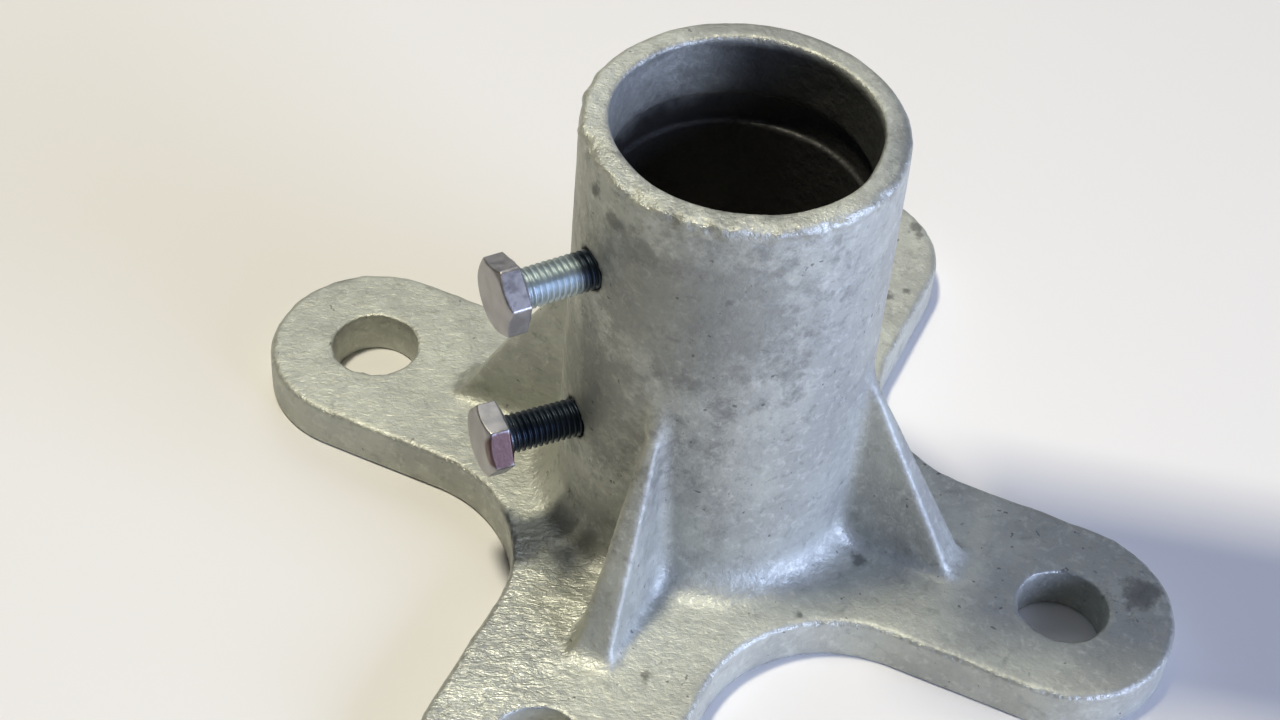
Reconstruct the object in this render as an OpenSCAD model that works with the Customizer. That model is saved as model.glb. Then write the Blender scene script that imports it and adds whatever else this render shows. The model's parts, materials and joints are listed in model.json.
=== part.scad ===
// Stanchion base: a one-piece galvanised casting, with a round socket standing on
// a four-armed deck flange, and two hexagon-headed set bolts that clamp the tube.
// Millimetres. Origin at the centre of the underside, +Z up the socket, and one
// arm of the flange along each of +X, +Y, -X and -Y.

/* [Socket] */
// Height of the rim above the underside
socket_h = 132; // [125:1:150]
// Bore that takes the stanchion tube
bore_d = 63.5; // [62:0.1:65]
// Outside diameter at the rim
socket_d = 77; // [75:0.5:82]
// Draft of the outside wall, in degrees
socket_draft = 0.5; // [0:0.1:1]
// Chamfer around both edges of the rim
rim_chamfer = 1.2; // [0.5:0.1:1.5]
// Round between the socket and the flange
foot_round = 9; // [5:0.5:12]

/* [Inside the socket] */
// Height of the ledge that the tube stands on
ledge_h = 9; // [6:1:12]
// Diameter of the drain opening through the ledge
drain_d = 54; // [48:1:58]
// Depth from the rim to the top of the relief groove
relief_depth = 17; // [12:1:20]
// Width of the relief groove, along the socket
relief_w = 9; // [6:1:12]
// How far the relief groove is cut into the wall
relief_cut = 1; // [0.5:0.1:1.5]

/* [Flange] */
// Thickness of the flange
flange_t = 13; // [10:0.5:16]
// Width of each arm, which is also the diameter of its round end
arm_w = 58; // [50:1:62]
// Bolt circle through the four deck bolt holes
bolt_circle_d = 200; // [190:1:220]
// Diameter of each deck bolt hole
deck_hole_d = 23; // [18:0.5:26]
// Radius of the hollow between two arms
valley_r = 36; // [30:1:40]

/* [Ribs] */
// Distance of the foot of each rib from the socket's axis
rib_reach = 71; // [66:1:76]
// Height at which the ridge meets the socket
rib_top = 71; // [60:1:80]
// Width of the ridge where it meets the socket
rib_ridge_w = 2.5; // [2:0.5:5]
// Draft of each side of a rib, down from that height, in degrees
rib_draft = 3.75; // [2:0.25:5]

/* [Set bolts] */
// Thread diameter
bolt_d = 10; // [8:1:12]
// Length under the head
bolt_l = 25; // [20:1:25]
// Width across the flats of the head
head_af = 17; // [16:0.5:18]
// Height of the head
head_h = 6.4; // [6:0.1:7]
// Height of the upper bolt
upper_bolt_z = 100; // [90:1:104]
// Height of the lower bolt
lower_bolt_z = 47.5; // [45:0.5:60]
// Direction of the upper bolt around the socket, in degrees
upper_bolt_azimuth = 232; // [215:1:235]
// Direction of the lower bolt around the socket, in degrees
lower_bolt_azimuth = 228; // [215:1:235]
// Distance from the socket's axis to the upper head's seat, as the bolt stands
upper_seat_r = 57.3; // [57:0.1:60]
// Distance from the socket's axis to the lower head's seat, as the bolt stands
lower_seat_r = 58.1; // [57:0.1:60]
// Turn of the upper head on its axis, in degrees
upper_head_turn = 48; // [0:1:59]
// Turn of the lower head on its axis, in degrees
lower_head_turn = 26; // [0:1:59]

/* [Hidden] */
$fn = 96;
bore_r = bore_d / 2;
rim_r = socket_d / 2;
base_r = socket_r(0);
ledge_r = drain_d / 2;
relief_z = socket_h - relief_depth - relief_w;
deck_hole_x = bolt_circle_d / 2;
ARMS = [0 : 90 : 270];

// Middle of the socket's wall and of the flange, where the ribs take root
wall_mid = (bore_r + rim_r) / 2;
flange_mid = flange_t / 2;
// Slope of a rib's ridge, and the height where that line crosses the middle of the wall
rib_slope = (rib_top - flange_t) / (rib_reach - socket_r(rib_top));
rib_root_h = flange_t + (rib_reach - wall_mid) * rib_slope;

// Running clearance around the bolts, and the small chamfers on them
thread_clearance = 0.06;
tip_chamfer = 1;
head_face_r = 0.475 * head_af;
// How far a cutting shape runs past the face that it opens
past = 1;

// Outside radius of the socket at a height
function socket_r(z) = rim_r + (socket_h - z) * tan(socket_draft);

// Half the width of a rib at a height above the deck
function rib_half_w(z) = rib_ridge_w / 2 + (rib_top - z) * tan(rib_draft);

module arm_outline() {
    translate([0, -arm_w / 2])
        square([deck_hole_x, arm_w]);
    translate([deck_hole_x, 0])
        circle(d = arm_w);
}

// Web between two neighbouring arms, with its round hollow
module valley_outline() {
    hollow = arm_w / 2 + valley_r;
    difference() {
        square(hollow);
        translate([hollow, hollow])
            circle(r = valley_r);
    }
}

module flange() {
    linear_extrude(flange_t)
        difference() {
            for (turn = ARMS)
                rotate(turn) {
                    arm_outline();
                    valley_outline();
                }
            for (turn = ARMS)
                rotate(turn)
                    translate([deck_hole_x, 0])
                        circle(d = deck_hole_d);
        }
}

// Drafted outside of the socket, solid, with its chamfered rim
module socket_body() {
    rotate_extrude()
        polygon([
            [0, 0],
            [base_r, 0],
            [rim_r, socket_h - rim_chamfer],
            [rim_r - rim_chamfer, socket_h],
            [0, socket_h]
        ]);
}

// Ring that rounds the socket into the flange
module foot_ring() {
    inner = socket_r(flange_t + foot_round);
    translate([0, 0, flange_t])
        rotate_extrude()
            difference() {
                translate([inner - past, -past])
                    square(foot_round + past);
                translate([inner + foot_round, foot_round])
                    circle(r = foot_round);
            }
}

// Side view of a rib, rooted in the wall and in the flange
module rib_side() {
    rotate([90, 0, 0])
        linear_extrude(arm_w, center = true)
            polygon([
                [wall_mid, flange_mid],
                [rib_reach + flange_mid / rib_slope, flange_mid],
                [wall_mid, rib_root_h]
            ]);
}

// Front view of a rib, which grows wider downwards with its draft
module rib_front() {
    foot = rib_half_w(flange_mid);
    crown = rib_half_w(rib_root_h);
    rotate([90, 0, 90])
        linear_extrude(2 * rib_reach)
            polygon([
                [-foot, flange_mid],
                [foot, flange_mid],
                [crown, rib_root_h],
                [-crown, rib_root_h]
            ]);
}

module rib() {
    intersection() {
        rib_side();
        rib_front();
    }
}

// Everything that is open inside the socket: bore, relief, ledge and mouth
module socket_hollow() {
    translate([0, 0, -past])
        cylinder(h = ledge_h + 2 * past, r = ledge_r);
    translate([0, 0, ledge_h])
        cylinder(h = socket_h - ledge_h + past, r = bore_r);
    translate([0, 0, relief_z])
        cylinder(h = relief_w, r = bore_r + relief_cut);
    translate([0, 0, socket_h - rim_chamfer])
        cylinder(h = 2 * rim_chamfer, r1 = bore_r, r2 = bore_r + 2 * rim_chamfer);
}

// Moves a bolt's own frame, head outwards, to its height and its seat
module at_bolt(height, azimuth, seat_r) {
    translate([0, 0, height])
        rotate([0, 90, azimuth])
            translate([0, 0, seat_r])
                children();
}

module bolt_hole(height, azimuth) {
    at_bolt(height, azimuth, wall_mid)
        cylinder(h = socket_d / 4, d = bolt_d + 2 * thread_clearance, center = true);
}

module bolt_head() {
    spread = head_h / tan(30);
    intersection() {
        cylinder(h = head_h, d = head_af / cos(30), $fn = 6);
        cylinder(h = head_h, r1 = head_face_r + spread, r2 = head_face_r);
    }
}

module bolt_shank() {
    rotate_extrude()
        polygon([
            [0, -bolt_l],
            [bolt_d / 2 - tip_chamfer, -bolt_l],
            [bolt_d / 2, tip_chamfer - bolt_l],
            [bolt_d / 2, head_h / 2],
            [0, head_h / 2]
        ]);
}

module set_bolt(height, azimuth, seat_r, head_turn) {
    at_bolt(height, azimuth, seat_r) {
        rotate(head_turn)
            bolt_head();
        bolt_shank();
    }
}

module base_casting() {
    color([0.66, 0.67, 0.62])
        difference() {
            union() {
                flange();
                socket_body();
                foot_ring();
                for (turn = ARMS)
                    rotate(turn)
                        rib();
            }
            socket_hollow();
            bolt_hole(upper_bolt_z, upper_bolt_azimuth);
            bolt_hole(lower_bolt_z, lower_bolt_azimuth);
        }
}

module upper_set_bolt() {
    color([0.72, 0.76, 0.8])
        set_bolt(upper_bolt_z, upper_bolt_azimuth, upper_seat_r, upper_head_turn);
}

module lower_set_bolt() {
    color([0.72, 0.76, 0.8])
        set_bolt(lower_bolt_z, lower_bolt_azimuth, lower_seat_r, lower_head_turn);
}

base_casting();
upper_set_bolt();
lower_set_bolt();
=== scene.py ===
import json
import math

import bpy
import numpy as np
from mathutils import Matrix, Vector


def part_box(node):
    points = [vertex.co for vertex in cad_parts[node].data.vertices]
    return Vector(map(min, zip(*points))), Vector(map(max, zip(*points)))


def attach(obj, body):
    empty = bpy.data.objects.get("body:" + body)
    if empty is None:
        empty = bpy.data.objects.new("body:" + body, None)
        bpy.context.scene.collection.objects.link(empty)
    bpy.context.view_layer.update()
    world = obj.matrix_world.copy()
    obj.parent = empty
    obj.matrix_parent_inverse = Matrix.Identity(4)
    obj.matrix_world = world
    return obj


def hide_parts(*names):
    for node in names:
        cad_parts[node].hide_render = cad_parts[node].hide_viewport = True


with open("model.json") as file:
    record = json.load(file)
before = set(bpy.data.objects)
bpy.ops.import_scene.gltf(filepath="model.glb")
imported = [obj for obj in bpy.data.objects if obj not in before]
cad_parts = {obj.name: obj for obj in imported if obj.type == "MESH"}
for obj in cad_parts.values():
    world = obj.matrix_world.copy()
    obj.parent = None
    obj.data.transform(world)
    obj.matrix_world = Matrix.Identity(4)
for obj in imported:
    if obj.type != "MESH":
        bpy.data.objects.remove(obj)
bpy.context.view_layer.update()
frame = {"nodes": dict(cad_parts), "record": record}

# The looks of a galvanised stanchion base: the casting and both set bolts are fields of
# signed distance, meshed here with their rounds, thread and cast skin. The fields are
# written in millimetres; MM takes a finished mesh to metres.
MM = 0.001

# ------------------------------------------------- sizes, from the frame where it has them
MOUNTS = {mount["name"]: mount for mount in frame["record"]["mounts"]}
JOINTS = {joint["child"]: joint for joint in frame["record"]["behaviour"]["joints"]}
BASE_LOW, BASE_HIGH = (np.array(corner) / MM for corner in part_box("base_casting"))

SOCKET_H = BASE_HIGH[2]
BORE_R = MOUNTS["socket_bore"]["dims"]["r_mm"]
HOLE_X = MOUNTS["deck_bolts"]["dims"]["pcd_mm"] / 2
HOLE_R = MOUNTS["deck_bolts"]["dims"]["hole_r_mm"]
ARM_HALF = BASE_HIGH[0] - HOLE_X
WALL = 6.75
RIM_R = BORE_R + WALL
RIM_ROUND = 2.1
DRAFT = math.radians(0.5)
FLANGE_T = 13.0
VALLEY_R = 36.0
FOOT_ROUND = 9.0
LEDGE_H = 9.0
DRAIN_R = 27.0
RELIEF_LOW, RELIEF_HIGH, RELIEF_CUT = 106.0, 115.0, 1.0
RIB_REACH, RIB_TOP = 71.0, 71.0
RIDGE_HALF = 1.25
RIB_DRAFT = math.radians(3.75)
RIB_ROUND = 3.5

BOLT_R = 4.95
BOLT_HOLE_R = 5.06
BOLT_L = 25.0
PITCH = 1.5
THREAD_DEPTH = 0.54 * PITCH
HEAD_H = 6.4
HEAD_AF = 17.0
HEAD_FACE_R = 0.475 * HEAD_AF
WASHER_FACE_R = 0.94 * HEAD_AF / 2
HEAD_TURN = {"upper_set_bolt": math.radians(48), "lower_set_bolt": math.radians(26)}
BOLT_BODY = {"upper_set_bolt": "upper_bolt", "lower_set_bolt": "lower_bolt"}


def bolt_place(node):
    """Point on the axis where the head sits, and the unit vector outwards, of a set bolt."""
    outwards = -np.array(JOINTS[BOLT_BODY[node]]["axis"])
    low, high = (np.array(corner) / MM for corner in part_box(node))
    mesh = frame["nodes"][node].data
    along = [np.dot(outwards, vertex.co) / MM for vertex in mesh.vertices]
    height = (low[2] + high[2]) / 2
    seat = outwards * (max(along) - HEAD_H)
    return np.array([seat[0], seat[1], height]), outwards


# ------------------------------------------------------------------- fields and meshing
def round_max(a, b, r):
    """Intersection of two solids, with the edge between them rounded by r."""
    outside = np.hypot(np.maximum(a + r, 0), np.maximum(b + r, 0))
    return np.minimum(np.maximum(a, b), -r) + outside


def round_min(a, b, r):
    """Union of two solids, with a fillet of radius r where they meet."""
    inside = np.hypot(np.maximum(r - a, 0), np.maximum(r - b, 0))
    return np.maximum(np.minimum(a, b), r) - inside


def planes(low, high, step, bands=()):
    """Grid planes from low to high, step apart, or closer in bands of start, end and step."""
    samples = 8001
    at = np.linspace(low, high, samples)
    spacing = np.full(at.shape, step)
    for start, end, closer in bands:
        spacing[(at > start) & (at < end)] = closer
    count = np.concatenate([[0], np.cumsum((at[1] - at[0]) / spacing[:-1])])
    return np.interp(np.linspace(0, count[-1], math.ceil(count[-1]) + 1), count, at)


def surface_net(field, axes):
    """Points and quads of the surface where the field is 0, on a grid of those planes."""
    values = field(*np.meshgrid(*axes, indexing="ij", sparse=True)).astype(np.float32)
    inside = values < 0
    near = (slice(None, -1), slice(1, None))
    filled = sum(inside[near[i], near[j], near[k]].astype(np.uint8)
                 for i in (0, 1) for j in (0, 1) for k in (0, 1))
    cells = np.argwhere((filled > 0) & (filled < 8))
    number = np.full(filled.shape, -1, np.int32)
    number[tuple(cells.T)] = np.arange(len(cells))
    total = np.zeros((len(cells), 3))
    hits = np.zeros(len(cells))
    quads = []
    for axis in range(3):
        side, up = (axis + 1) % 3, (axis + 2) % 3
        for corner in ((0, 0), (0, 1), (1, 0), (1, 1)):
            start = cells.copy()
            start[:, side] += corner[0]
            start[:, up] += corner[1]
            end = start.copy()
            end[:, axis] += 1
            a, b = values[tuple(start.T)], values[tuple(end.T)]
            crossed = (a < 0) != (b < 0)
            share = np.where(crossed, a / np.where(crossed, a - b, 1), 0)
            spot = np.stack([axes[d][start[:, d]] for d in range(3)], 1)
            spot[:, axis] += share * (axes[axis][end[:, axis]] - spot[:, axis])
            total += spot * crossed[:, None]
            hits += crossed
        first = [slice(1, -1)] * 3
        first[axis] = slice(None, -1)
        second = list(first)
        second[axis] = slice(1, None)
        leaving = inside[tuple(first)]
        edges = np.argwhere(leaving != inside[tuple(second)])
        outwards = leaving[tuple(edges.T)]
        edges[:, side] += 1
        edges[:, up] += 1
        ring = []
        for back_side, back_up in ((1, 1), (0, 1), (0, 0), (1, 0)):
            cell = edges.copy()
            cell[:, side] -= back_side
            cell[:, up] -= back_up
            ring.append(number[tuple(cell.T)])
        ring = np.stack(ring, 1)
        quads.append(np.where(outwards[:, None], ring, ring[:, ::-1]))
    return total / hits[:, None], np.concatenate(quads)


def slope(field, points, reach=0.02):
    """Gradient of a field at some points."""
    rises = [field(*(points + step).T) - field(*(points - step).T) for step in np.eye(3) * reach]
    return np.stack([rise / (2 * reach) for rise in rises], 1)


def settle(points, field, rounds, limit):
    """Moves points onto the surface of a field, by at most limit each round."""
    for _ in range(rounds):
        grad = slope(field, points)
        away = field(*points.T) / np.maximum((grad ** 2).sum(1), 0.05)
        move = grad * away[:, None]
        length = np.linalg.norm(move, axis=1)
        points = points - move * np.minimum(1, limit / np.maximum(length, 1e-9))[:, None]
    return points


def relax(points, quads, share):
    """Moves every point part of the way to the middle of its neighbours."""
    total = np.zeros_like(points)
    count = np.zeros(len(points))
    for step in (1, 3):
        other = np.roll(quads, step, axis=1)
        for d in range(3):
            total[:, d] += np.bincount(quads.ravel(), points[other.ravel(), d], len(points))
        count += np.bincount(quads.ravel(), minlength=len(points))
    return points + share * (total / count[:, None] - points)


def net_object(name, field, axes, step, height=None):
    """A smooth-shaded mesh of a field's surface. height(points, normals) raises its points."""
    points, quads = surface_net(field, axes)
    points = settle(points, field, 2, step)
    for _ in range(2):
        points = settle(relax(points, quads, 0.6), field, 2, step)
    if height is not None:
        normals = slope(field, points)
        normals /= np.maximum(np.linalg.norm(normals, axis=1), 1e-9)[:, None]
        points = points + normals * height(points, normals)[:, None]
    mesh = bpy.data.meshes.new(name)
    mesh.from_pydata((points * MM).tolist(), [], quads.tolist())
    mesh.validate()
    mesh.polygons.foreach_set("use_smooth", np.ones(len(mesh.polygons), bool))
    piece = bpy.data.objects.new(name, mesh)
    bpy.context.collection.objects.link(piece)
    return piece


def noise(points, size, seed):
    """Smooth noise from -1 to 1, with features about size millimetres across."""
    side = 32
    dice = np.random.RandomState(seed)
    table = dice.uniform(-1, 1, (side, side, side))
    turn = np.linalg.qr(dice.normal(size=(3, 3)))[0]
    at = points @ turn / size + dice.uniform(0, side, 3)
    base = np.floor(at).astype(int)
    part = at - base
    part = part ** 3 * (part * (part * 6 - 15) + 10)
    value = 0
    for corner in np.ndindex(2, 2, 2):
        weight = np.prod(np.where(corner, part, 1 - part), axis=1)
        value = value + weight * table[tuple(((base + corner) % side).T)]
    return value


# ---------------------------------------------------------------------------- casting
def flange_field(along, across, z):
    """The flange and its deck holes. along runs down the nearest arm, across from its middle."""
    hollow = ARM_HALF + VALLEY_R
    valley = VALLEY_R - np.hypot(hollow - along, hollow - across)
    arm = np.where(along < HOLE_X, across - ARM_HALF, np.hypot(along - HOLE_X, across) - ARM_HALF)
    outline = np.where(along < hollow, valley, arm)
    flange = round_max(outline, z - FLANGE_T, 1.8)
    hole = np.hypot(along - HOLE_X, across) - HOLE_R
    return round_max(flange, -hole, 0.6)


def rib_field(along, across, z):
    """A drafted rib, under a ridge that slopes from its foot up to the socket."""
    run = RIB_REACH - RIM_R
    rise = RIB_TOP - FLANGE_T
    length = math.hypot(run, rise)
    under = ((along - RIB_REACH) * rise + (z - FLANGE_T) * run) / length
    side = across - RIDGE_HALF - (RIB_TOP - z) * math.tan(RIB_DRAFT)
    return round_max(under, side * math.cos(RIB_DRAFT), 1.2)


def groove_field(rho, z):
    """The shallow relief groove that runs around the bore."""
    middle = (RELIEF_LOW + RELIEF_HIGH) / 2
    return np.maximum(rho - BORE_R - RELIEF_CUT, np.abs(z - middle) - (RELIEF_HIGH - middle))


def casting_field(x, y, z):
    """The whole casting: flange, socket and ribs, less the bore, drain, groove and bolt holes."""
    along = np.maximum(np.abs(x), np.abs(y))
    across = np.minimum(np.abs(x), np.abs(y))
    rho = np.hypot(x, y)
    wall = (rho - RIM_R - (SOCKET_H - z) * math.tan(DRAFT)) * math.cos(DRAFT)
    socket = round_max(wall, z - SOCKET_H, RIM_ROUND)
    body = round_min(flange_field(along, across, z), socket, FOOT_ROUND)
    body = round_min(body, rib_field(along, across, z), RIB_ROUND)
    body = round_max(body, -z, 0.7)
    bore = np.maximum(rho - BORE_R, LEDGE_H - z)
    body = round_max(body, -np.minimum(bore, rho - DRAIN_R), 1.1)
    body = round_max(body, -groove_field(rho, z), 0.3)
    for seat, outwards in BOLT_PLACES.values():
        along_bolt = x * outwards[0] + y * outwards[1]
        off_side = y * outwards[0] - x * outwards[1]
        bolt = np.hypot(off_side, z - seat[2]) - BOLT_HOLE_R
        bolt = np.maximum(bolt, -along_bolt)
        body = round_max(body, -bolt, 0.5)
    return body


# slow waves and ripples of the cast skin: height, size and seed of each
WAVES = ((0.16, 22, 1), (0.07, 8, 2), (0.03, 3.2, 3))

# the wrinkles: which way they run in degrees from +X, how tall they are, and their stretch
WRINKLE_TURN = 24
WRINKLE_WAY = (math.cos(math.radians(WRINKLE_TURN)), math.sin(math.radians(WRINKLE_TURN)))
WRINKLE_H = 0.19
WRINKLE_STRETCH = np.array([0.42, 1.0, 1.0])
# how far lumps stand out on the rim's outer edge, the flange's upper edge and the bore's mouth
LUMP_H, BURR_H, LIP_H = 0.8, 0.42, 0.45
# the skin lies flat this near to a set bolt's axis, and comes up over the next few millimetres
FLAT_AROUND_BOLT, FLAT_FADE = 6.5, 4


def wrinkled(x, y):
    """Where the zinc lies in wrinkles: on the left half of the front arm most of all."""
    return np.clip((4 - x) / 16, 0, 1) * np.clip((-34 - y) / 18, 0, 1)


def flat_share(points):
    """1 where the skin may stand out, down to 0 at the bolt holes and the underside."""
    z = points[:, 2]
    rho = np.hypot(points[:, 0], points[:, 1])
    free = np.ones(len(points))
    for seat, outwards in BOLT_PLACES.values():
        off_side = points[:, 1] * outwards[0] - points[:, 0] * outwards[1]
        off = np.hypot(off_side, z - seat[2])
        ahead = points[:, :2] @ outwards[:2] > 0
        clear = np.clip((off - FLAT_AROUND_BOLT) / FLAT_FADE, 0, 1)
        free = np.where(ahead, np.minimum(free, clear), free)
    free *= np.where((rho < BORE_R + 2) & (z < SOCKET_H - 4), 0.3, 1)
    return free * np.clip(z / 2, 0, 1)


def cast_skin(points, normals):
    """How far the zinc skin stands out: waves, ripples, wrinkles, and lumps on the edges."""
    x, y, z = points.T
    rho = np.hypot(x, y)
    upwards = np.clip(normals[:, 2], 0, 1)
    waves = sum(height * noise(points, size, seed) for height, size, seed in WAVES)
    turned = np.stack([x * WRINKLE_WAY[0] + y * WRINKLE_WAY[1],
                       y * WRINKLE_WAY[0] - x * WRINKLE_WAY[1], z], 1)
    turned[:, 1] += 1.2 * noise(points, 6, 8)
    folds = 1 - np.abs(noise(turned * WRINKLE_STRETCH, 2.4, 4)) * 2
    uneven = np.clip(0.75 + 0.7 * noise(points, 9, 9), 0.2, 1.4)
    wrinkles = WRINKLE_H * folds * uneven * upwards * (0.12 + 0.88 * wrinkled(x, y))
    ragged = noise(points, 3.4, 5) + 0.6 * noise(points, 2.0, 7)
    # lumps along the outer edge of the rim, most of all at the front
    rim_edge = np.clip((rho - 35.5) / 2, 0, 1) * np.clip((z - 128.5) / 2, 0, 1)
    lumps = rim_edge * np.clip(0.45 - y / 50, 0.12, 1.1) * LUMP_H * ragged
    # a burr along the upper edge of the flange
    flange_edge = np.clip((z - FLANGE_T + 1.6) / 1.2, 0, 1) * (z < FLANGE_T + 0.3)
    lumps += BURR_H * flange_edge * np.clip(1.6 - 1.7 * upwards, 0, 1) * ragged
    lip = np.clip((z - 128) / 3, 0, 1) * np.clip((36 - rho) / 3, 0, 1)
    skin = waves + wrinkles + lumps + LIP_H * lip * noise(points, 11, 6)
    return skin * flat_share(points)


def make_casting():
    """The casting, on a grid with closer planes where the height of the shape changes."""
    edge = 2.0
    xs = planes(BASE_LOW[0] - edge, BASE_HIGH[0] + edge, GRID)
    ys = planes(BASE_LOW[1] - edge, BASE_HIGH[1] + edge, GRID)
    bands = [(seat[2] - 7, seat[2] + 7, GRID * 0.85) for seat, _ in BOLT_PLACES.values()]
    bands += [(at - 1, at + 1, GRID / 2) for at in (0, LEDGE_H, RELIEF_LOW, RELIEF_HIGH)]
    bands.append((FLANGE_T - 2.2, FLANGE_T + 1, GRID / 2))
    bands.append((SOCKET_H - 3.5, SOCKET_H + 1, GRID / 2))
    zs = planes(-edge, SOCKET_H + edge, GRID * 1.6, bands)
    return net_object("casting", casting_field, (xs, ys, zs), GRID, cast_skin)


# -------------------------------------------------------------------------- set bolts
def thread_field(x, y, z):
    """The threaded shank, below its head's seat at z = 0, with a chamfered tip."""
    rho = np.hypot(x, y)
    phase = np.mod(z / PITCH - np.arctan2(y, x) / (2 * math.pi), 1)
    root_flat, flank = 0.125, 0.625
    rise = np.clip((np.abs(phase - 0.5) * 2 - root_flat) / flank, 0, 1)
    runout = np.clip((z + 2.2) / 1.2, 0, 1)
    ridge = np.maximum(rise, runout)
    # both are scaled down, because the flanks and the tip slope: a field has a slope near 1
    shank = (rho - BOLT_R + THREAD_DEPTH * (1 - ridge)) * 0.55
    tip = (rho - (BOLT_R - 1.1 + (z + BOLT_L))) * 0.7
    return np.maximum(np.maximum(shank, tip), np.maximum(-BOLT_L - z, z - 1))


def head_field(x, y, z, turn):
    """Hexagon head on a thin washer face, with its chamfered top."""
    corner_round, edge_round = 0.35, 0.25
    washer_face_h = 0.5
    flats = None
    for k in range(3):
        angle = turn + math.radians(30 + 60 * k)
        flat = np.abs(x * math.cos(angle) + y * math.sin(angle)) - HEAD_AF / 2
        flats = flat if flats is None else round_max(flats, flat, corner_round)
    rho = np.hypot(x, y)
    # the chamfer slopes by 30 degrees
    chamfer = (rho - HEAD_FACE_R) * 0.5 + (z - HEAD_H) * 0.866
    head = round_max(round_max(flats, z - HEAD_H, edge_round), chamfer, edge_round)
    head = round_max(head, washer_face_h - z, edge_round)
    washer = np.maximum(rho - WASHER_FACE_R, np.maximum(-z, z - 1))
    return np.minimum(head, washer)


def make_bolt(node):
    """A set bolt, meshed along its own axis and then laid in its hole."""
    seat, outwards = BOLT_PLACES[node]
    turn = HEAD_TURN[node]

    def field(x, y, z):
        return round_min(head_field(x, y, z, turn), thread_field(x, y, z), 0.4)

    reach = HEAD_AF / math.sqrt(3) + 1
    side = planes(-reach, reach, 0.4, [(-BOLT_R - 0.6, BOLT_R + 0.6, BOLT_GRID)])
    zs = planes(-BOLT_L - 1, HEAD_H + 1, BOLT_GRID)
    piece = net_object(node + "_threaded", field, (side, side, zs), BOLT_GRID)
    # the bolt's own X, Y and Z in the frame, Z outwards along its axis
    across = np.cross([0, 0, 1], outwards)
    place = Matrix((
        (0, across[0], outwards[0], seat[0] * MM),
        (0, across[1], outwards[1], seat[1] * MM),
        (-1, across[2], outwards[2], seat[2] * MM),
        (0, 0, 0, 1)))
    piece.data.transform(place)
    return piece


# ------------------------------------------------------------------------- materials
class Nodes:
    """Short ways to build a material's node tree."""

    def __init__(self, name):
        self.material = bpy.data.materials.new(name)
        self.material.use_nodes = True
        self.tree = self.material.node_tree
        self.shader = self.tree.nodes["Principled BSDF"]
        self.place = self.add("ShaderNodeTexCoord").outputs["Object"]

    def add(self, kind, **values):
        node = self.tree.nodes.new(kind)
        for key, value in values.items():
            setattr(node, key, value)
        return node

    def put(self, socket, value):
        if isinstance(value, bpy.types.NodeSocket):
            self.tree.links.new(value, socket)
        else:
            socket.default_value = value

    def math(self, operation, a, b=0.0):
        node = self.add("ShaderNodeMath", operation=operation)
        self.put(node.inputs[0], a)
        self.put(node.inputs[1], b)
        return node.outputs[0]

    def times(self, value, *factors):
        for factor in factors:
            value = self.math("MULTIPLY", value, factor)
        return value

    def xyz(self, vector):
        """The X, Y and Z of a vector."""
        node = self.add("ShaderNodeSeparateXYZ")
        self.put(node.inputs[0], vector)
        return node.outputs

    def from_axis(self):
        """Distance from the socket's axis, in metres."""
        x, y, _ = self.xyz(self.place)
        squares = self.math("ADD", self.math("POWER", x, 2.0), self.math("POWER", y, 2.0))
        return self.math("SQRT", squares)

    def from_point(self, point):
        """Distance in metres from a point given in millimetres."""
        node = self.add("ShaderNodeVectorMath", operation="DISTANCE")
        self.put(node.inputs[0], self.place)
        self.put(node.inputs[1], [c * MM for c in point])
        return node.outputs["Value"]

    def stretch(self, scale, angle=0):
        """Places turned about Z by an angle in degrees, then scaled."""
        turned = self.add("ShaderNodeVectorRotate", rotation_type="Z_AXIS")
        self.put(turned.inputs["Vector"], self.place)
        self.put(turned.inputs["Angle"], math.radians(angle))
        node = self.add("ShaderNodeMapping")
        self.put(node.inputs["Vector"], turned.outputs[0])
        self.put(node.inputs["Scale"], scale)
        return node.outputs[0]

    def noise(self, size, detail=3.0, rough=0.55, distortion=0.0, source=None):
        """Noise with features about size metres across."""
        node = self.add("ShaderNodeTexNoise")
        self.put(node.inputs["Vector"], source or self.place)
        self.put(node.inputs["Scale"], 1 / size)
        self.put(node.inputs["Detail"], detail)
        self.put(node.inputs["Roughness"], rough)
        self.put(node.inputs["Distortion"], distortion)
        return node.outputs["Fac"]

    def band(self, value, low, high, to_low=0.0, to_high=1.0):
        """value from low..high to to_low..to_high, held at the ends."""
        node = self.add("ShaderNodeMapRange", interpolation_type="SMOOTHSTEP")
        for key, amount in zip(("Value", "From Min", "From Max", "To Min", "To Max"),
                               (value, low, high, to_low, to_high)):
            self.put(node.inputs[key], amount)
        return node.outputs[0]

    def mix(self, share, a, b):
        """Colour a, or as much of colour b as share says."""
        node = self.add("ShaderNodeMix", data_type="RGBA")
        self.put(node.inputs[0], share)
        self.put(node.inputs[6], a)
        self.put(node.inputs[7], b)
        return node.outputs[2]

    def bump(self, height, depth, below=None):
        """Bump of a 0 to 1 height that is depth metres tall."""
        node = self.add("ShaderNodeBump")
        self.put(node.inputs["Height"], height)
        self.put(node.inputs["Distance"], depth)
        if below is not None:
            self.put(node.inputs["Normal"], below)
        return node.outputs["Normal"]

    def finish(self, colour, metallic, roughness, normal):
        """The material, with what its surface is like."""
        for key, value in (("Base Color", colour), ("Metallic", metallic),
                           ("Roughness", roughness), ("Normal", normal)):
            self.put(self.shader.inputs[key], value)
        return self.material


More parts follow.
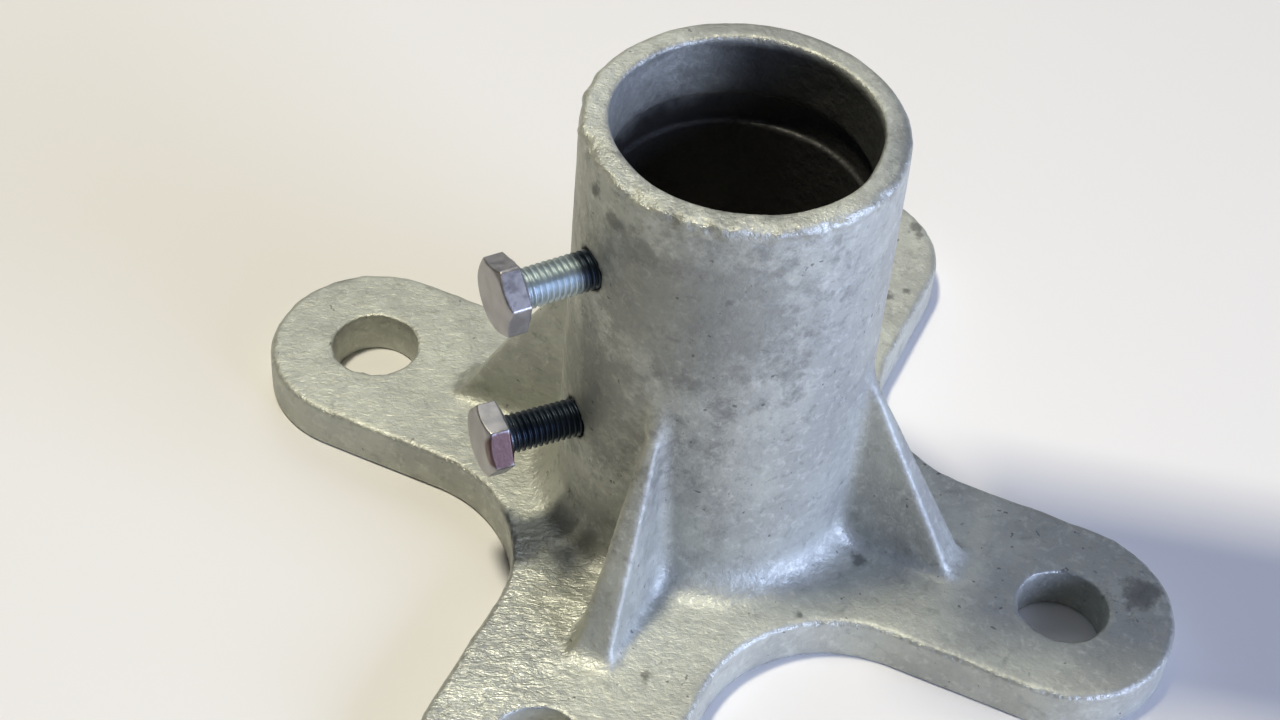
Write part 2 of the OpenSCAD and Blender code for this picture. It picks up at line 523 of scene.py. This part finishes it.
def bore_shading(n):
    """How dark the bore is painted, as painted light and shade: clean at the left of its mouth,
    which faces the light, dark on the rest of the mouth, which lies in shade, and nearly black
    lower down, painted shade deep in the bore.
    """
    x, _, z = n.xyz(n.place)
    in_bore = n.band(n.from_axis(), 0.0335, 0.0345, 1, 0)
    below_rim = n.band(z, 0.129, 0.131, 1, 0)
    patchy = n.times(n.noise(0.012, 3, 0.6), 0.01)
    # painted light: the left of the mouth, lit from the right, is kept clean, and the rest of the
    # mouth is painted dark as shade
    mouth = n.band(x, -0.026, -0.008, 0.0, 0.87)
    # painted shade, nearly black below 115 mm up
    depth = n.band(n.math("ADD", z, patchy), 0.115, 0.124, 0.95, mouth)
    return n.times(in_bore, below_rim, depth)


# dark marks on the casting: each has its place and size in millimetres, and how dark it is.
# A mark on the socket is placed by a turn in degrees and a height, one on the flange by X and Y
# The broad marks at 238, 262 and 284 degrees are partly smudges and partly painted shade: they
# darken the socket's upper front and its left side. The one at 100 degrees darkens the back of the
# rim.
SOCKET_MARKS = (
    (232, 124, 2.4, 0.75), (243, 121, 2.6, 0.6), (258, 119, 4.5, 0.55), (267, 116, 2.2, 0.5),
    (290, 111, 1.8, 0.6), (262, 104, 22, 0.42), (238, 66, 26, 0.4), (272, 40, 16, 0.2),
    (284, 104, 27, 0.42), (100, 133, 30, 0.28))
FLANGE_MARKS = (
    (20, 87, 2.0, 0.7), (24, 92, 1.6, 0.7), (17, 120, 2.2, 0.65), (19, 117, 1.4, 0.6),
    (41, -34, 1.3, 0.7), (14, -69, 1.4, 0.7), (48, -11, 1.6, 0.6), (117, 13, 6.0, 0.6))


def marks(n):
    """How dark the marks make the casting."""
    places = []
    for turn, z, size, dark in SOCKET_MARKS:
        angle = math.radians(turn)
        places.append(((RIM_R * math.cos(angle), RIM_R * math.sin(angle), z), size, dark))
    places += [((x, y, FLANGE_T), size, dark) for x, y, size, dark in FLANGE_MARKS]
    ragged = n.band(n.noise(0.006, 5, 0.7), 0.25, 0.75, 0.25, 1.75)
    total = 0.0
    for place, size, dark in places:
        reach = n.times(n.from_point(place), ragged)
        mark = n.band(reach, size * 0.35 * MM, size * 1.3 * MM, dark, 0)
        total = n.math("MAXIMUM", total, mark)
    return total


# colours of the zinc on the casting
PALE, MID, DULL = (0.53, 0.545, 0.48, 1), (0.43, 0.44, 0.395, 1), (0.27, 0.275, 0.25, 1)
FROST = (0.68, 0.695, 0.62, 1)
PIT = (0.10, 0.10, 0.095, 1)
# the colour of the marks: smudges, and painted shade in the broad ones
SMUDGE_AND_SHADE = (0.085, 0.085, 0.08, 1)
# painted shade inside the bore
BORE_SHADE = (0.043, 0.042, 0.042, 1)


def galvanised():
    """Hot-dip zinc over a cast skin: mottled grey, dull, rippled, with dark pits and smudges."""
    n = Nodes("hot_dip_zinc")
    cloud = n.noise(0.022, 4, 0.6)
    mottle = n.noise(0.005, 4, 0.65, 0.6)
    grain = n.noise(0.0011, 3, 0.6)
    colour = n.mix(n.band(cloud, 0.38, 0.62), MID, PALE)
    colour = n.mix(n.band(mottle, 0.52, 0.75, 0, 0.55), colour, DULL)
    colour = n.mix(n.band(n.noise(0.0028, 4, 0.7, 0.4), 0.5, 0.68, 0, 0.5), colour, FROST)
    colour = n.mix(n.band(n.noise(0.0024, 2, 0.5), 0.70, 0.76, 0, 0.7), colour, PIT)
    # dark marks: smudges and pits, with painted shade in the broad ones on the socket
    colour = n.mix(marks(n), colour, SMUDGE_AND_SHADE)
    # painted shade in the bore, clean at the left of its mouth where the light falls in
    colour = n.mix(bore_shading(n), colour, BORE_SHADE)

    x, y, z = n.xyz(n.place)
    upwards = n.xyz(n.add("ShaderNodeNewGeometry").outputs["Normal"])[2]
    rim = n.band(z, 0.1285, 0.1305)
    # brink: the rounded upper edges of the flange and the rim, where the zinc has crusted
    tilted = n.math("SUBTRACT", 1.0, n.math("ABSOLUTE", n.math("SUBTRACT", upwards, 0.6)))
    brink = n.times(n.band(tilted, 0.65, 0.85), n.band(z, 0.0105, 0.0118))
    brink = n.times(brink, n.math("ADD", n.band(z, 0.0128, 0.0132, 1, 0), rim))
    crusty = n.math("MAXIMUM", n.times(rim, n.band(y, -0.03, 0.0, 1, 0.25)), brink)
    crust = n.times(n.noise(0.0017, 4, 0.65), crusty)
    # fine folds on the wrinkled part, which is the left half of the front arm
    folded = n.times(n.band(x, -0.014, 0.008, 1, 0.35), n.band(y, -0.052, -0.03, 1, 0.45))
    folded = n.times(folded, n.band(upwards, 0.6, 0.9))
    folds = n.noise(0.0016, 3, 0.6, 0.9, n.stretch((0.45, 1.0, 1.0), angle=-WRINKLE_TURN))

    glints = n.math("MAXIMUM", brink, n.math("MAXIMUM", folded, n.times(rim, 0.6)))
    rough = n.math("SUBTRACT", n.band(grain, 0.3, 0.7, 0.5, 0.66), n.times(glints, 0.2))
    normal = n.bump(n.noise(0.0035, 4, 0.6), 0.0004)
    normal = n.bump(crust, 0.0006, normal)
    normal = n.bump(n.times(folds, folded), 0.0006, normal)
    normal = n.bump(grain, 0.0001, normal)
    return n.finish(colour, 0.5, rough, normal)


# colours of the set bolts
HEAD_DARK, HEAD_LIGHT = (0.32, 0.31, 0.31, 1), (0.43, 0.415, 0.41, 1)
# the brown is a painted reflection on one flat of the lower bolt's head
BROWN = (0.10, 0.05, 0.045, 1)
# the dark bluish shank colour is painted shade and a painted dark reflection
BRIGHT_SHANK, SHADED_SHANK = (0.5, 0.58, 0.6, 1), (0.03, 0.043, 0.06, 1)


def zinc_plate(name, shank_end, shaded_to, shank_shade, brown_reflection=None):
    """Dulled zinc plate of a set bolt. Its shank is painted dark from the wall out to shaded_to,
    in millimetres from the socket's axis, and by as much as shank_shade from there to shank_end,
    under
    the head: painted shade and a painted dark reflection. brown_reflection is the middle of a
    brown patch on one of the flats, a painted reflection."""
    n = Nodes(name)
    rho = n.from_axis()
    head = n.mix(n.band(n.noise(0.004, 3, 0.6), 0.3, 0.7), HEAD_DARK, HEAD_LIGHT)
    # painted reflection: a brown patch on one flat of the head
    if brown_reflection is not None:
        head = n.mix(n.band(n.from_point(brown_reflection), 0.0042, 0.0054, 0.92, 0), head, BROWN)
    # painted shade and painted dark reflection on the shank, all of it near the wall
    near_wall = n.band(rho, (shaded_to - 4) * MM, shaded_to * MM, 1, shank_shade)
    on_shank = n.band(rho, (shank_end - 0.3) * MM, shank_end * MM, 1, 0)
    colour = n.mix(on_shank, head, BRIGHT_SHANK)
    colour = n.mix(n.times(near_wall, on_shank), colour, SHADED_SHANK)
    rough = n.band(n.noise(0.002), 0.3, 0.7, 0.34, 0.46)
    return n.finish(colour, 0.85, rough, n.bump(n.noise(0.0012, 3), 0.00005))


def pale_table():
    """The pale table top, and the card."""
    n = Nodes("pale_table")
    n.put(n.shader.inputs["Base Color"], (0.88, 0.865, 0.85, 1))
    n.put(n.shader.inputs["Roughness"], 0.6)
    return n.material


# ------------------------------------------------------------------ camera and light
# angles are in degrees here: azimuth from -Y towards +X, elevation from level
CAMERA_PLACE = Vector((0.1287, -0.3858, 0.4564))
CAMERA_AZIMUTH, CAMERA_ELEVATION, CAMERA_ROLL = 21.23, 44.87, 4.97
CAMERA_LENS = 63.4
CAMERA_SENSOR = 36
LIGHT_DISTANCE = 1.8


def direction(azimuth, elevation):
    """The unit vector that points out at those angles."""
    a, e = math.radians(azimuth), math.radians(elevation)
    return Vector((math.sin(a) * math.cos(e), -math.cos(a) * math.cos(e), math.sin(e)))


def make_camera():
    data = bpy.data.cameras.new("camera")
    data.lens = CAMERA_LENS
    data.sensor_width = CAMERA_SENSOR
    camera = bpy.data.objects.new("camera", data)
    bpy.context.collection.objects.link(camera)
    roll = math.radians(CAMERA_ROLL)
    back = direction(CAMERA_AZIMUTH, CAMERA_ELEVATION)
    level = direction(CAMERA_AZIMUTH + 90, 0)
    rise = back.cross(level)
    right = math.cos(roll) * level + math.sin(roll) * rise
    up = math.cos(roll) * rise - math.sin(roll) * level
    turn = Matrix((right, up, back)).transposed().to_4x4()
    camera.matrix_world = Matrix.Translation(CAMERA_PLACE) @ turn
    bpy.context.scene.camera = camera


def make_light(name, azimuth, elevation, size, power, colour):
    """A square area light that faces the middle of the socket, seen from there at those angles."""
    data = bpy.data.lights.new(name, "AREA")
    data.shape = "SQUARE"
    data.size = size
    data.energy = power
    data.color = colour
    light = bpy.data.objects.new(name, data)
    bpy.context.collection.objects.link(light)
    back = direction(azimuth, elevation)
    light.location = Vector((0, 0, SOCKET_H / 2 * MM)) + back * LIGHT_DISTANCE
    light.rotation_euler = (-back).to_track_quat("-Z", "Y").to_euler()


def flat_sheet(name, half_x, half_y):
    """A level rectangle with the table's material."""
    corners = [(-half_x, -half_y, 0), (half_x, -half_y, 0),
               (half_x, half_y, 0), (-half_x, half_y, 0)]
    mesh = bpy.data.meshes.new(name)
    mesh.from_pydata(corners, [], [(0, 1, 2, 3)])
    sheet = bpy.data.objects.new(name, mesh)
    bpy.context.collection.objects.link(sheet)
    sheet.data.materials.append(pale_table())
    return sheet


def make_card():
    """A card over the right arm, out of the picture, that keeps the ceiling lamp off it."""
    card = flat_sheet("card", 0.074, 0.033)
    card.location = (0.078, 0.012, 0.25)
    card.rotation_euler = (0, 0, math.radians(14))
    card.visible_camera = False


def make_world(colour, strength):
    world = bpy.data.worlds.new("room")
    world.use_nodes = True
    background = world.node_tree.nodes["Background"]
    background.inputs["Color"].default_value = colour
    background.inputs["Strength"].default_value = strength
    bpy.context.scene.world = world


def make_floor():
    floor = flat_sheet("floor", 3.0, 3.0)


# ---------------------------------------------------------------------------- build
# grid steps in millimetres
GRID = 1.1
BOLT_GRID = 0.25
BOLT_PLACES = {node: bolt_place(node) for node in BOLT_BODY}

casting = make_casting()
casting.data.materials.append(galvanised())
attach(casting, "base")
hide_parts("base_casting")

plating = {
    # painted shade: the lower bolt's shank is darkened nearly all along, the upper's near the wall
    "upper_set_bolt": zinc_plate("upper_zinc_plate", shank_end=56.8, shaded_to=45, shank_shade=0.12),
    "lower_set_bolt": zinc_plate("lower_zinc_plate", shank_end=57.6, shaded_to=57, shank_shade=0.93,
                                 # the middle of the painted brown reflection on the lower bolt's
                                 # head
                                 brown_reflection=(-35.3, -50.7, 51.2)),
}
for node, body in BOLT_BODY.items():
    bolt = make_bolt(node)
    bolt.data.materials.append(plating[node])
    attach(bolt, body)
    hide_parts(node)

make_floor()
make_world((0.95, 0.95, 1.0, 1), 0.03)
make_light("right_window", azimuth=80, elevation=14, size=1.1, power=40, colour=(0.55, 0.65, 1.0))
make_light("rear_wall", azimuth=-150, elevation=40, size=1.1, power=6, colour=(0.85, 0.9, 1.0))
make_light("ceiling_lamp", azimuth=-75, elevation=78, size=0.2, power=23.5,
           colour=(1.0, 0.94, 0.75))
make_card()
make_camera()
bpy.context.scene.view_settings.view_transform = "Standard"
